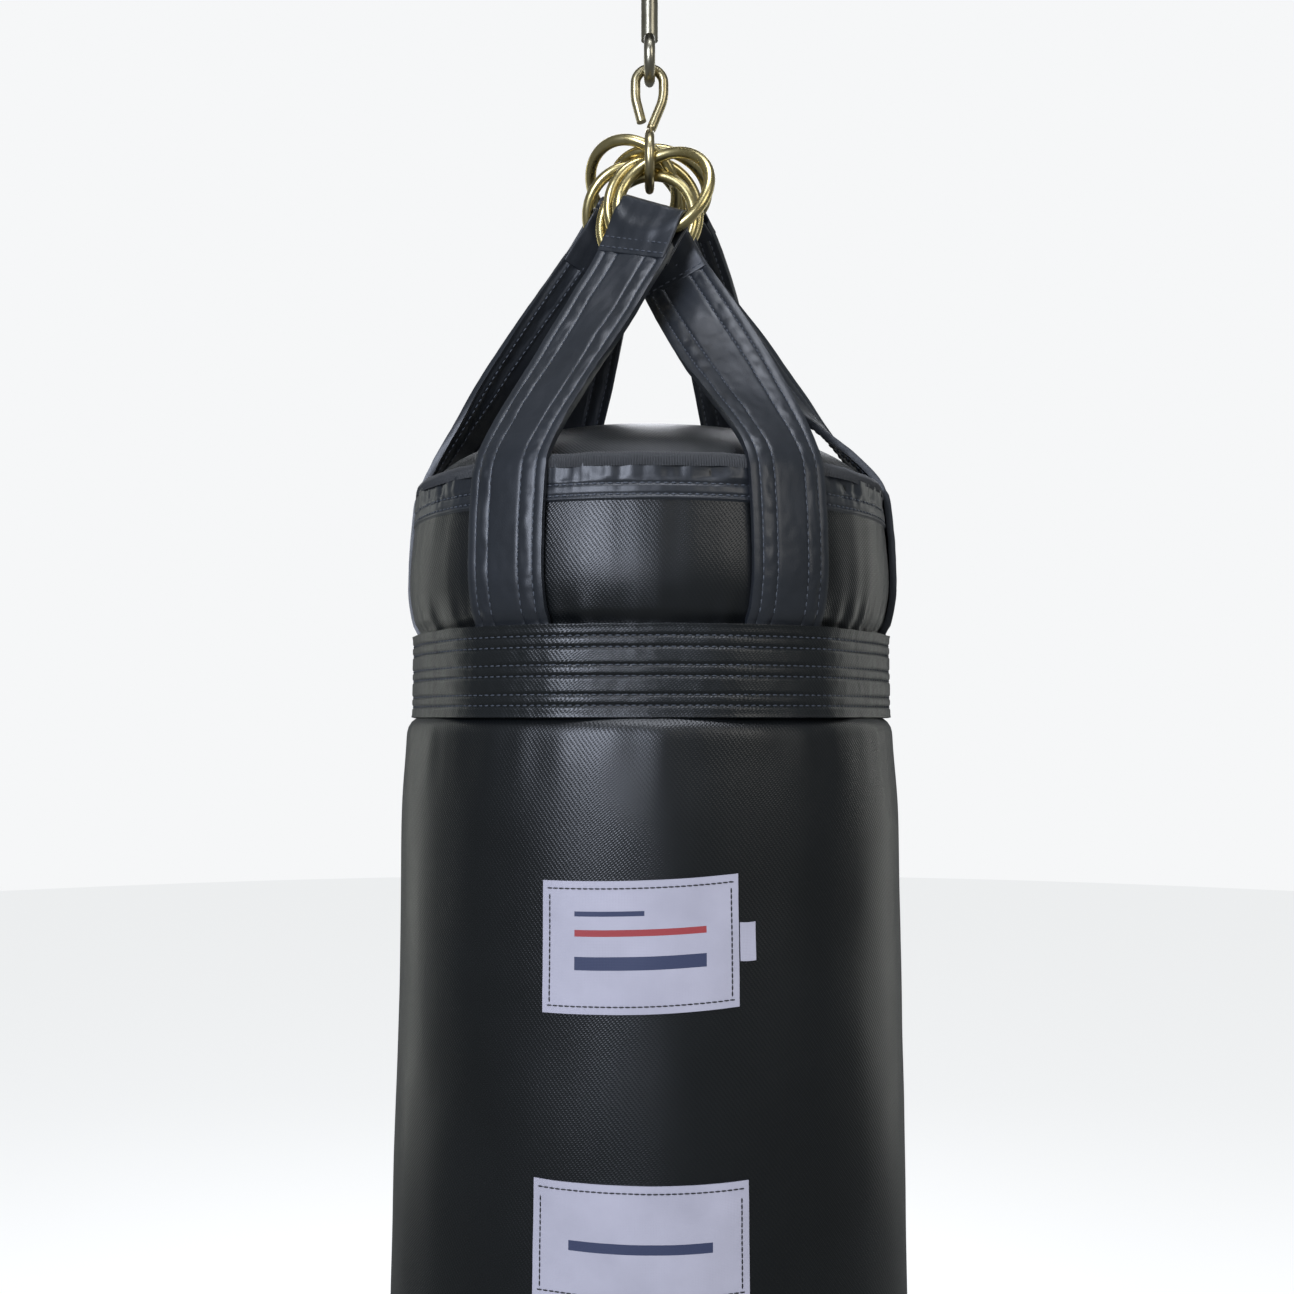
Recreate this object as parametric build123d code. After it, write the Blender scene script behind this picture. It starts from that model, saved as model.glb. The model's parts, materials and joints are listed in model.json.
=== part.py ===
from build123d import *
import os
from math import cos, degrees, radians, sin, sqrt, tan

# Hanging heavy bag. Millimetres, +Z up. The origin is the centre of the ceiling face and the
# bag hangs straight down from it. -Y is the front, where the patches are sewn.

# Ceiling plate and swivel
plate_side = 120.0
plate_thick = 6.0
plate_corner_r = 8.0
bolt_pitch = 90.0
bolt_hole_r = 4.5
housing_r = 24.0
housing_height = 36.0
housing_bore_r = 20.0
housing_floor = 5.0
housing_edge_r = 3.0
shank_r = 6.0
shank_clearance = 0.06
race_r = 16.0
race_thick = 3.0
race_clearance = 0.5
ball_r = 2.5
ball_count = 12
ball_circle_r = 11.5
ball_gap = 0.05
nut_flats = 18.0
nut_height = 9.0
thread_end = 3.0
collar_r = 9.0
collar_height = 5.0
collar_gap = 0.4
eye_wire_r = 4.0
eye_mid_r = 14.0
eye_drop = 55.0

# S-hook and rings. A mid radius is measured to the middle of the wire
contact_gap = 0.1
hook_wire_r = 3.5
hook_loop_r = 18.5
hook_rise = 66.0
ring_wire_r = 4.0
ring_mid_r = 34.5

# Straps and their loops
strap_width = 55.0
strap_thick = 4.8
loop_thick = 14.6
loop_wall = 3.0
loop_overlap = 1.5
ring_clearance = 0.3
strap_bow = 0.5

# Bag. Heights are over the belt's lower edge
hook_above_belt = 397.0
belt_height = 57.0
belt_inner_r = 160.8
belt_thick = 2.6
strap_step = 4.8
wall_thick = 2.0
liner_gap = 0.6
liner_thick = 12.0
patch_gap = 0.5
patch_thick = 1.0
upper_wall_line = [(160.5, 28), (160.5, 57.5), (164.5, 66), (167.5, 86), (166.2, 120), (163.4, 140), (161, 150)]
lower_wall_line = [(160.5, 27.7), (160.5, 0), (168.8, -7), (171.4, -22), (174, -60), (176, -155), (178, -250),
                   (180.4, -340), (182.4, -500), (183, -650), (182.2, -800), (179.6, -930), (174.5, -1010),
                   (167, -1050)]
cover_line = [(0, 200), (60, 197), (110, 187), (140, 174), (156, 160), (160.6, 151)]
strap_line = [(165.4, 158), (165.4, 146), (167.3, 130), (168.2, 118), (169, 96), (168.6, 84), (165.2, 66),
              (161.1, 58), (161.1, 4)]
bottom_line = [(0, -1062), (150, -1058), (164.6, -1052)]

# Each strap: azimuth (0 front, 90 right); the seat of its ring in the hook's loop (y, z from the
# loop's middle); how far the ring leans right and back; its turn about that line; how far the strap
# leaves it to the right; half the width of the sewn loop; how steeply the strap leaves the rim, against
# a straight run. Angles in degrees
strap_table = {
    "front_left": (-31.5, -10, -3.4, 18, -30, -15.5, -43, 27.5, 0.1),
    "left": (-102, 10.2, -0.7, -19.5, 21.5, 15, -15.5, 27.5, 0.2),
    "front_right": (30.5, -1.2, -10.5, -3, -4.5, -17.5, 28, 24, 0.2),
    "right": (91, 1.6, 1, 5.5, 10.5, 20, 20, 20, 0.05),
    "back_right": (150, 3.2, 10.1, 24.5, 58.5, -31.5, 14, 20, 0.1),
    "back_left": (-150.5, -5.3, 8.2, -32.5, 54.5, -1, 2, 20, 0.1),
}

# Heights down from the ceiling
housing_low_z = -plate_thick - housing_height
floor_top_z = housing_low_z + housing_floor
ball_z = floor_top_z + race_thick + ball_gap + ball_r
upper_race_z = ball_z + ball_r + ball_gap
nut_z = upper_race_z + race_thick
eye_z = housing_low_z - eye_drop
hook_top_z = eye_z - eye_mid_r + eye_wire_r + contact_gap + hook_wire_r
hook_loop_z = hook_top_z - hook_rise
belt_z = hook_loop_z - hook_above_belt


def save(name, shape):
    export_step(shape, f"parts/{name}.step")


def outward(azimuth):
    return Vector(sin(radians(azimuth)), -cos(radians(azimuth)), 0)


def sideways(azimuth):
    return Vector(cos(radians(azimuth)), sin(radians(azimuth)), 0)


# Turned shapes: an outline of (radius, height over the belt) spun about Z

def spin(edges, azimuth=0.0, arc=360.0):
    face = make_face(edges)
    turned = revolve(face, Axis.Z, arc)
    return Rot(0, 0, azimuth - arc / 2 - 90) * Pos(0, 0, belt_z) * turned


def spin_outline(points, azimuth=0.0, arc=360.0):
    return spin(Polyline(*[(r, 0, z) for r, z in points], close=True).edges(), azimuth, arc)


def spin_between(outer, inner, corners):
    """The space between two lines, straight for the first corners and then smooth."""
    edges = []
    for line in (outer, inner):
        points = [(r, 0, z) for r, z in line]
        if corners:
            edges += Polyline(*points[:corners + 1]).edges()
        edges += Spline(*points[corners:]).edges()
    edges += Line((outer[0][0], 0, outer[0][1]), (inner[0][0], 0, inner[0][1])).edges()
    if outer[-1] != inner[-1]:
        edges += Line((outer[-1][0], 0, outer[-1][1]), (inner[-1][0], 0, inner[-1][1])).edges()
    return spin(edges)


def inset(line, depth):
    return [(r - depth, z) for r, z in line]


def radius_at(line, height):
    for (r0, z0), (r1, z1) in zip(line, line[1:]):
        if min(z0, z1) <= height <= max(z0, z1):
            return r0 + (r1 - r0) * (height - z0) / (z1 - z0)
    raise ValueError(height)


# Ceiling plate and swivel

def ceiling_plate():
    plate = Pos(0, 0, -plate_thick / 2) * Box(plate_side, plate_side, plate_thick)
    plate = fillet(plate.edges().filter_by(Axis.Z), plate_corner_r)
    for hole in GridLocations(bolt_pitch, bolt_pitch, 2, 2):
        plate -= hole * Pos(0, 0, -plate_thick / 2) * Cylinder(bolt_hole_r, 2 * plate_thick)
    return plate


def ring_stock(outer_r, inner_r, low_z, height):
    body = Cylinder(outer_r, height) - Cylinder(inner_r, 2 * height)
    return Pos(0, 0, low_z + height / 2) * body


def swivel_housing():
    cup = Pos(0, 0, housing_low_z + housing_height / 2) * Cylinder(housing_r, housing_height)
    cup = fillet(cup.edges().sort_by(Axis.Z)[0], housing_edge_r)
    bore_height = housing_height - housing_floor
    cup -= Pos(0, 0, floor_top_z + bore_height / 2) * Cylinder(housing_bore_r, bore_height)
    return cup - Pos(0, 0, housing_low_z) * Cylinder(shank_r + shank_clearance, 4 * housing_floor)


def bearing_balls():
    balls = [p * Sphere(ball_r) for p in PolarLocations(ball_circle_r, ball_count)]
    return Compound(children=[Pos(0, 0, ball_z) * ball for ball in balls])


def swivel_nut():
    nut = extrude(RegularPolygon(nut_flats / 2, 6, major_radius=False), nut_height)
    return Pos(0, 0, nut_z) * (nut - Cylinder(shank_r, 4 * nut_height))


def swivel_eye():
    top_z = nut_z + nut_height + thread_end
    low_z = eye_z + eye_mid_r
    shank = Pos(0, 0, (top_z + low_z) / 2) * Cylinder(shank_r, top_z - low_z)
    collar = Pos(0, 0, housing_low_z - collar_gap - collar_height / 2) * Cylinder(collar_r, collar_height)
    return Pos(0, 0, eye_z) * Rot(0, 90, 0) * Torus(eye_mid_r, eye_wire_r) + collar + shank


# S-hook

def s_hook():
    """A round loop in the YZ plane below and a long narrow one in the XZ plane above."""
    start, end = 55, -245
    loop = [Vector(0, hook_loop_r * cos(radians(a)), hook_loop_r * sin(radians(a)))
            for a in (start, (start + end) / 2, end)]
    leave = Vector(0, sin(radians(end)), -cos(radians(end)))
    route = [loop[2], loop[2] + leave * 10, (10, 0.6, 45), (10, 0, hook_rise), (-10, 0, hook_rise),
             (-10, 0, 45), (-5.6, -0.5, 28)]
    path = Wire(ThreePointArc(*loop).edges() + FilletPolyline(*route, radius=[8, 30, 9.9, 9.9, 30]).edges())
    section = Plane(origin=path @ 0, z_dir=path % 0) * Circle(hook_wire_r)
    return Pos(0, 0, hook_loop_z) * sweep(section, path=path)


# Rings and straps

class Rigging:
    """Where one ring hangs, and the frame of the strap loop that is sewn round it."""

    def __init__(self, azimuth, seat_y, seat_z, right, back, turn, end_lean, half_width, rise):
        self.azimuth = azimuth
        self.rise = rise
        self.half_width = half_width
        down = Vector(tan(radians(right)), tan(radians(back)), -1).normalized()
        front = Vector(0, -1, 0)
        front = (front - down * front.dot(down)).normalized()
        self.normal = front * cos(radians(turn)) + front.cross(down) * sin(radians(turn))
        across = self.normal.cross(down)
        self.centre = Vector(0, seat_y, hook_loop_z + seat_z) + down * ring_mid_r
        self.pull = down * cos(radians(end_lean)) + across * sin(radians(end_lean))
        self.across = self.normal.cross(self.pull)
        inner = ring_mid_r - ring_wire_r
        self.near = sqrt(inner ** 2 - half_width ** 2) - ring_clearance
        self.far = ring_mid_r + ring_wire_r + ring_clearance

    def place(self, along):
        return Plane(origin=self.centre + self.pull * along, x_dir=self.across, z_dir=self.normal)


def ring(rig):
    return Plane(origin=rig.centre, z_dir=rig.normal) * Torus(ring_mid_r, ring_wire_r)


def sewn_loop(rig):
    middle, reach = (rig.near + rig.far) / 2, rig.far - rig.near
    outer = Box(2 * rig.half_width, reach + 2 * loop_wall, loop_thick)
    slot = Box(2 * rig.half_width + 2, reach, 2 * (ring_wire_r + ring_clearance))
    return rig.place(middle) * (outer - slot)


def free_strap(rig):
    """The run from the rim to the sewn loop, a flat strip that turns and narrows on its way."""
    rim = outward(rig.azimuth) * (strap_line[0][0] + 1.4) + Vector(0, 0, belt_z + strap_line[0][1] - 3)
    end = rig.centre + rig.pull * (rig.far + loop_overlap)
    side = sideways(rig.azimuth)
    across = rig.across if rig.across.dot(side) > 0 else rig.across * -1
    run = end - rim
    leave = (run.normalized() + Vector(0, 0, rig.rise)).normalized() * (run.length * strap_bow)
    arrive = rig.pull * -(run.length * strap_bow)
    sections = []
    for t in (0, 0.1, 0.22, 0.36, 0.52, 0.68, 0.84, 0.94, 1):
        blend = t * t * (3 - 2 * t)
        centre = rim * (1 - blend) + end * blend + leave * (t * (1 - t) ** 2) - arrive * (t * t * (1 - t))
        heading = (rim - end) * (6 * t * t - 6 * t) + leave * (1 - 4 * t + 3 * t * t) + arrive * (3 * t * t - 2 * t)
        width = side * (1 - blend) + across * blend
        heading = heading.normalized()
        width = (width - heading * width.dot(heading)).normalized()
        half = strap_width / 2 + (rig.half_width - strap_width / 2) * max(0, 2 * t - 1)
        reach, depth = width * half, heading.cross(width) * (strap_thick / 2)
        corners = [centre + reach + depth, centre - reach + depth, centre - reach - depth, centre + reach - depth]
        sections.append(Wire.make_polygon(corners, close=True))
    return Solid.make_loft(sections, ruled=True)


def wall_strap(rig):
    outer = [(r + strap_thick, z) for r, z in strap_line]
    arc = degrees(strap_width / strap_line[4][0])
    return spin_outline(strap_line + outer[::-1], rig.azimuth, arc)


def strap(rig):
    return wall_strap(rig) + free_strap(rig) + sewn_loop(rig)


# Bag

def belt(rigs):
    low, high = 0.6, belt_height
    covered = belt_inner_r + strap_step + 0.4
    band = [(belt_inner_r, low), (belt_inner_r + belt_thick, low), (belt_inner_r + belt_thick, high),
            (belt_inner_r, high)]
    over = [(belt_inner_r, low), (covered + belt_thick, low), (covered + belt_thick, high), (belt_inner_r, high)]
    room = [(belt_inner_r - 1, 3), (covered, 3), (covered, high + 1), (belt_inner_r - 1, high + 1)]
    arc = degrees(strap_width / strap_line[4][0])
    shape = spin_outline(band)
    for rig in rigs:
        shape += spin_outline(over, rig.azimuth, arc + 2)
    for rig in rigs:
        shape -= spin_outline(room, rig.azimuth, arc + 0.6)
    return shape


def top_cover():
    under = [(r * 0.985, z - 2.2) for r, z in cover_line[:-1]] + [(158.4, 151)]
    outer = [(r, 0, z) for r, z in cover_line]
    inner = [(r, 0, z) for r, z in under]
    edges = Spline(*outer).edges() + Spline(*inner).edges()
    edges += Line(outer[0], inner[0]).edges() + Line(outer[-1], inner[-1]).edges()
    return spin(edges)


def rim_binding():
    return spin_outline([(162.9, 146), (161.8, 150), (161.4, 153.5), (159.2, 158.6), (160.4, 159.2),
                         (162.9, 154.5), (163.4, 150.5), (164.4, 146)])


def rim_band():
    return spin_outline([(165.9, 128), (164.2, 138.6), (163.2, 144), (164.3, 144), (165.3, 138.8), (167, 128)])


def bottom_panel():
    upper = [(r, z + 3) for r, z in bottom_line]
    return spin_outline(bottom_line + upper[::-1])


def bottom_binding():
    return spin_outline([(170, -1040), (168.2, -1051.4), (164.8, -1053), (158, -1056.2), (158, -1057.6),
                         (165.3, -1054.4), (169.4, -1052.4), (171.4, -1040)])


def core_outline(depth, low, high):
    line = lower_wall_line[:0:-1] + upper_wall_line[1:]
    middle = inset([p for p in line if low < p[1] < high], depth)
    return [(radius_at(line, low) - depth, low)] + middle + [(radius_at(line, high) - depth, high)]


def foam_liner():
    outer = core_outline(wall_thick + liner_gap, -1046, 144)
    return spin_outline(outer + inset(outer, liner_thick)[::-1])


def textile_filling():
    side = core_outline(wall_thick + liner_gap + liner_thick + 0.3, -1046, 144)
    crown = [(130, 171), (105, 182), (60, 190), (0, 194)]
    floor = [(0, -1057), (140, -1053)]
    return spin_outline(side + crown + floor)


def patch(azimuth, arc, high, low):
    inner = [(radius_at(lower_wall_line, z) + patch_gap, z) for z in (high, (high + low) / 2, low)]
    return spin_outline(inner + inset(inner, -patch_thick)[::-1], azimuth, arc)


def main():
    os.makedirs("parts", exist_ok=True)
    rigs = {name: Rigging(*row) for name, row in strap_table.items()}
    save("ceiling_plate", ceiling_plate())
    save("swivel_housing", swivel_housing())
    save("lower_bearing_race", ring_stock(race_r, shank_r + race_clearance, floor_top_z, race_thick))
    save("bearing_balls", bearing_balls())
    save("upper_bearing_race", ring_stock(race_r, shank_r, upper_race_z, race_thick))
    save("swivel_nut", swivel_nut())
    save("swivel_eye", swivel_eye())
    save("s_hook", s_hook())
    for name, rig in rigs.items():
        save(f"ring_{name}", ring(rig))
        save(f"strap_{name}", strap(rig))
    save("belt", belt(rigs.values()))
    save("upper_wall", spin_between(upper_wall_line, inset(upper_wall_line, wall_thick), 2))
    save("lower_wall", spin_between(lower_wall_line, inset(lower_wall_line, wall_thick), 2))
    save("top_cover", top_cover())
    save("rim_binding", rim_binding())
    save("rim_band", rim_band())
    save("bottom_panel", bottom_panel())
    save("bottom_binding", bottom_binding())
    save("foam_liner", foam_liner())
    save("textile_filling", textile_filling())
    save("front_patch", patch(-1.9, 39.2, -95, -174))
    save("side_tab", patch(19.5, 3.3, -122, -145))
    save("lower_patch", patch(-1.9, 42, -275, -345))


main()
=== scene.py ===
import bpy
import json
import math
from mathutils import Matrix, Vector, noise

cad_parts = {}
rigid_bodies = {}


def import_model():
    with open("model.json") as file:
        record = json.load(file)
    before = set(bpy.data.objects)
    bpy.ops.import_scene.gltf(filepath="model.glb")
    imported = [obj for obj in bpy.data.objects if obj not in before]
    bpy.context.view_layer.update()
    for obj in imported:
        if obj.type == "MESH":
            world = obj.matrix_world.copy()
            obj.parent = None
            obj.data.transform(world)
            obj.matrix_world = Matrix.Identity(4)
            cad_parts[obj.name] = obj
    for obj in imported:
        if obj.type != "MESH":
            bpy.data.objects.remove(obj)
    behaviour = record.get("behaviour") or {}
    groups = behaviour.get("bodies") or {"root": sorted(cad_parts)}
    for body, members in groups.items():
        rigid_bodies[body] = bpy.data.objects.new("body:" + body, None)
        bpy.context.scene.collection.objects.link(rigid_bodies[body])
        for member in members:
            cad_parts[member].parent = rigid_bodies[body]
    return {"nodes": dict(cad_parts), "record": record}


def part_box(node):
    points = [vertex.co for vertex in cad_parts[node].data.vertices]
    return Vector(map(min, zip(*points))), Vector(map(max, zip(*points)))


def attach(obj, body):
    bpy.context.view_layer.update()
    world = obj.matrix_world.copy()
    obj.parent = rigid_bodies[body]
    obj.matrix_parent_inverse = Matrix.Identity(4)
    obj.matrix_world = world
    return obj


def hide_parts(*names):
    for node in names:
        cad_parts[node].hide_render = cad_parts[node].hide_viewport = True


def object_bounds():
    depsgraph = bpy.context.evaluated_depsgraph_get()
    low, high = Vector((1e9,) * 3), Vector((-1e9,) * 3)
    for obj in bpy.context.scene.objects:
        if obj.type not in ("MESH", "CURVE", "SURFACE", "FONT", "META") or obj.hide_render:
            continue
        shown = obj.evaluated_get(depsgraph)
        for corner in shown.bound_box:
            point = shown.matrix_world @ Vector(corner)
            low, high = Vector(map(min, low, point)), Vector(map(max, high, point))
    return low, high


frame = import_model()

mm = 0.001
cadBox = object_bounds()
joints = {j["name"]: j for j in frame["record"]["behaviour"]["joints"]}
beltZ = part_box("belt")[0][2] - 0.6 * mm   # heights below are in mm over the belt's lower edge
waveScale = math.pi / 10 / mm             # over the bands' spacing in mm, it is a wave texture's scale


def unselectAll():
    bpy.ops.object.select_all(action="DESELECT")


def pick(piece):
    unselectAll()
    piece.select_set(True)
    bpy.context.view_layer.objects.active = piece


studio = {
    "eye": (-0.0018, -1.031),      # metres from the bag's axis, level with the belt's lower edge
    "lens": 40.2,
    "rise": 0.055,
    "floorBelow": 0.35,            # metres under the bag's bottom
    "world": "#f6f7f8",
    "room": "#a2a6a8",
    "roomLight": 0.4,
    "floor": "#e9e9e7",
    "floorGrain": "#e4e4e2",
    "floorGlow": 0.78,
    "boxes": [    # name, azimuth, distance, height over the belt, width, height, watts, colour
        ("keyBox", -25, 2.2, 0.75, 0.75, 1.3, 46, "#e4ecff"),
        ("topBox", 8, 0.7, 2.2, 1.3, 1.0, 30, "#eef3ff"),
        ("leftRim", -128, 2.4, 0.2, 0.35, 2.2, 6, "#f1f4ec"),
        ("rightRim", 126, 2.4, 0.2, 0.35, 2.2, 6, "#f2f3ec"),
        ("frontFill", 42, 3.0, 1.3, 1.4, 1.2, 17, "#fbf8f2"),
        ("backBox", 180, 2.4, 1.6, 1.6, 1.6, 26, "#f6f8ff"),
    ],
}


def toLinear(hexCode):
    parts = [int(hexCode[i:i + 2], 16) / 255 for i in (1, 3, 5)]
    return tuple(c / 12.92 if c <= 0.04045 else ((c + 0.055) / 1.055) ** 2.4 for c in parts) + (1.0,)


def addNode(tree, kind, inputs=None, **settings):
    node = tree.nodes.new(kind)
    for key, value in settings.items():
        setattr(node, key, value)
    for key, value in (inputs or {}).items():
        if isinstance(value, bpy.types.NodeSocket):
            tree.links.new(value, node.inputs[key])
        else:
            node.inputs[key].default_value = value
    return node


def newMaterial(name):
    material = bpy.data.materials.new(name)
    material.use_nodes = True
    material.node_tree.nodes.clear()
    return material, material.node_tree


def finishMaterial(tree, bsdf):
    addNode(tree, "ShaderNodeOutputMaterial", {"Surface": bsdf.outputs[0]})


def makeCamera():
    data = bpy.data.cameras.new("camera")
    data.lens = studio["lens"]
    data.sensor_width = 36
    data.shift_y = studio["rise"]
    data.clip_start = 0.05
    camera = bpy.data.objects.new("camera", data)
    bpy.context.scene.collection.objects.link(camera)
    camera.location = (*studio["eye"], beltZ)
    camera.rotation_euler = (math.pi / 2, 0, 0)
    bpy.context.scene.camera = camera


def softBox(name, azimuth, distance, height, width, tall, power, colour):
    data = bpy.data.lights.new(name, "AREA")
    data.shape = "RECTANGLE"
    data.size = width
    data.size_y = tall
    data.energy = power
    data.color = toLinear(colour)[:3]
    lamp = bpy.data.objects.new(name, data)
    bpy.context.scene.collection.objects.link(lamp)
    turn = math.radians(azimuth)
    lamp.location = (distance * math.sin(turn), -distance * math.cos(turn), beltZ + height)
    aim = Vector((0, 0, beltZ)) - lamp.location
    lamp.rotation_euler = aim.to_track_quat("-Z", "Y").to_euler()


def makeWorld():
    # the backdrop is pale to the eye, while the room that the gloss reflects is dim
    world = bpy.data.worlds.new("studio")
    world.use_nodes = True
    tree = world.node_tree
    tree.nodes.clear()
    seen = addNode(tree, "ShaderNodeLightPath")
    pale = addNode(tree, "ShaderNodeBackground", {"Color": toLinear(studio["world"]), "Strength": 1.0})
    dim = addNode(tree, "ShaderNodeBackground", {"Color": toLinear(studio["room"]),
                                                 "Strength": studio["roomLight"]})
    both = addNode(tree, "ShaderNodeMixShader", {0: seen.outputs["Is Camera Ray"], 1: dim.outputs[0],
                                                 2: pale.outputs[0]})
    addNode(tree, "ShaderNodeOutputWorld", {"Surface": both.outputs[0]})
    bpy.context.scene.world = world


def makeStudio():
    makeWorld()
    bpy.context.scene.view_settings.view_transform = "Standard"
    for row in studio["boxes"]:
        softBox(*row)
    unselectAll()
    low = cadBox[0][2] - studio["floorBelow"]
    bpy.ops.mesh.primitive_circle_add(vertices=96, radius=12, fill_type="NGON", location=(0, 0, low))
    floor = bpy.context.object
    floor.name = "studio_floor"
    floor.visible_glossy = False
    material, tree = newMaterial("paintedFloor")
    grain = addNode(tree, "ShaderNodeTexNoise", {"Scale": 3.0, "Detail": 4.0})
    mix = addNode(tree, "ShaderNodeMix", {0: grain.outputs[0], 6: toLinear(studio["floor"]),
                                          7: toLinear(studio["floorGrain"])}, data_type="RGBA")
    finishMaterial(tree, addNode(tree, "ShaderNodeBsdfPrincipled", {
        "Base Color": mix.outputs[2], "Roughness": 0.7, "Emission Color": toLinear(studio["world"]),
        "Emission Strength": studio["floorGlow"]}))
    floor.data.materials.append(material)


makeCamera()
makeStudio()
print("stage: camera, light and floor")


def wovenVinyl(name, dark, pale):
    # PVC-coated polyester, calendered: the cloth's twill shows as slanting lines 1.4 mm apart under a
    # half-gloss skin. UV maps are in metres
    material, tree = newMaterial(name)
    uv = addNode(tree, "ShaderNodeUVMap").outputs[0]
    place = addNode(tree, "ShaderNodeTexCoord").outputs["Object"]
    turned = addNode(tree, "ShaderNodeMapping", {"Vector": uv, "Rotation": (0, 0, math.radians(52))})
    twill = addNode(tree, "ShaderNodeTexWave", {"Vector": turned.outputs[0], "Scale": waveScale / 1.4,
                                                "Distortion": 0.5, "Detail": 1.0, "Detail Scale": 2.0})
    crossed = addNode(tree, "ShaderNodeMapping", {"Vector": uv, "Rotation": (0, 0, math.radians(-38))})
    cross = addNode(tree, "ShaderNodeTexWave", {"Vector": crossed.outputs[0], "Scale": waveScale / 2.2,
                                                "Distortion": 1.2, "Detail": 1.0, "Detail Scale": 2.0})
    cloud = addNode(tree, "ShaderNodeTexNoise", {"Vector": place, "Scale": 14.0, "Detail": 5.0})
    grit = addNode(tree, "ShaderNodeTexNoise", {"Vector": place, "Scale": 900.0, "Detail": 2.0})
    both = addNode(tree, "ShaderNodeMath", {0: twill.outputs[1], 1: cross.outputs[1]}, operation="MULTIPLY")
    weave = addNode(tree, "ShaderNodeBump", {"Height": both.outputs[0], "Strength": 0.55,
                                             "Distance": 0.22 * mm})
    bump = addNode(tree, "ShaderNodeBump", {"Height": grit.outputs[0], "Strength": 0.2,
                                            "Distance": 0.1 * mm, "Normal": weave.outputs[0]})
    colour = addNode(tree, "ShaderNodeMix", {0: cloud.outputs[0], 6: toLinear(dark),
                                             7: toLinear(pale)}, data_type="RGBA")
    rough = addNode(tree, "ShaderNodeMapRange", {"Value": cloud.outputs[0], "To Min": 0.27, "To Max": 0.4})
    finishMaterial(tree, addNode(tree, "ShaderNodeBsdfPrincipled", {
        "Base Color": colour.outputs[2], "Roughness": rough.outputs[0], "IOR": 1.5,
        "Normal": bump.outputs[0]}))
    return material


def strapVinyl():
    # Smooth calendered vinyl folded over webbing: a fine pebble grain and short cross creases
    material, tree = newMaterial("strapVinyl")
    uv = addNode(tree, "ShaderNodeUVMap").outputs[0]
    place = addNode(tree, "ShaderNodeTexCoord").outputs["Object"]
    grain = addNode(tree, "ShaderNodeTexVoronoi", {"Vector": place, "Scale": 1100.0})
    stretched = addNode(tree, "ShaderNodeMapping", {"Vector": uv, "Scale": (16.0, 70.0, 1.0)})
    crease = addNode(tree, "ShaderNodeTexNoise", {"Vector": stretched.outputs[0], "Scale": 1.0,
                                                  "Detail": 2.0})
    cloud = addNode(tree, "ShaderNodeTexNoise", {"Vector": place, "Scale": 22.0, "Detail": 4.0})
    fine = addNode(tree, "ShaderNodeBump", {"Height": grain.outputs[0], "Strength": 0.25,
                                            "Distance": 0.12 * mm})
    bump = addNode(tree, "ShaderNodeBump", {"Height": crease.outputs[0], "Strength": 0.3,
                                            "Distance": 1.2 * mm, "Normal": fine.outputs[0]})
    colour = addNode(tree, "ShaderNodeMix", {0: cloud.outputs[0], 6: toLinear("#14171b"),
                                             7: toLinear("#22262c")}, data_type="RGBA")
    rough = addNode(tree, "ShaderNodeMapRange", {"Value": cloud.outputs[0], "To Min": 0.32, "To Max": 0.46})
    finishMaterial(tree, addNode(tree, "ShaderNodeBsdfPrincipled", {
        "Base Color": colour.outputs[2], "Roughness": rough.outputs[0], "IOR": 1.54,
        "Normal": bump.outputs[0]}))
    return material


def bindingTape():
    # Woven grosgrain tape: dull, with a soft sheen along its ribs and a 0.8 mm thread
    material, tree = newMaterial("bindingTape")
    uv = addNode(tree, "ShaderNodeUVMap").outputs[0]
    turned = addNode(tree, "ShaderNodeMapping", {"Vector": uv, "Rotation": (0, 0, math.radians(90))})
    threads = addNode(tree, "ShaderNodeTexWave", {"Vector": turned.outputs[0], "Scale": waveScale / 0.8,
                                                  "Distortion": 0.6})
    cloud = addNode(tree, "ShaderNodeTexNoise", {"Vector": uv, "Scale": 60.0, "Detail": 4.0})
    bump = addNode(tree, "ShaderNodeBump", {"Height": threads.outputs[1], "Strength": 0.4,
                                            "Distance": 0.2 * mm})
    colour = addNode(tree, "ShaderNodeMix", {0: cloud.outputs[0], 6: toLinear("#0f1114"),
                                             7: toLinear("#1d2024")}, data_type="RGBA")
    finishMaterial(tree, addNode(tree, "ShaderNodeBsdfPrincipled", {
        "Base Color": colour.outputs[2], "Roughness": 0.62, "Sheen Weight": 0.2, "Normal": bump.outputs[0]}))
    return material


def bondedThread(name, dark, pale):
    # Bonded nylon thread, twisted: small fibres under a waxy skin
    material, tree = newMaterial(name)
    place = addNode(tree, "ShaderNodeTexCoord").outputs["Object"]
    fibre = addNode(tree, "ShaderNodeTexNoise", {"Vector": place, "Scale": 1500.0, "Detail": 2.0})
    bump = addNode(tree, "ShaderNodeBump", {"Height": fibre.outputs[0], "Strength": 0.3,
                                            "Distance": 0.1 * mm})
    colour = addNode(tree, "ShaderNodeMix", {0: fibre.outputs[0], 6: toLinear(dark),
                                             7: toLinear(pale)}, data_type="RGBA")
    finishMaterial(tree, addNode(tree, "ShaderNodeBsdfPrincipled", {
        "Base Color": colour.outputs[2], "Roughness": 0.5, "Normal": bump.outputs[0]}))
    return material


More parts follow.
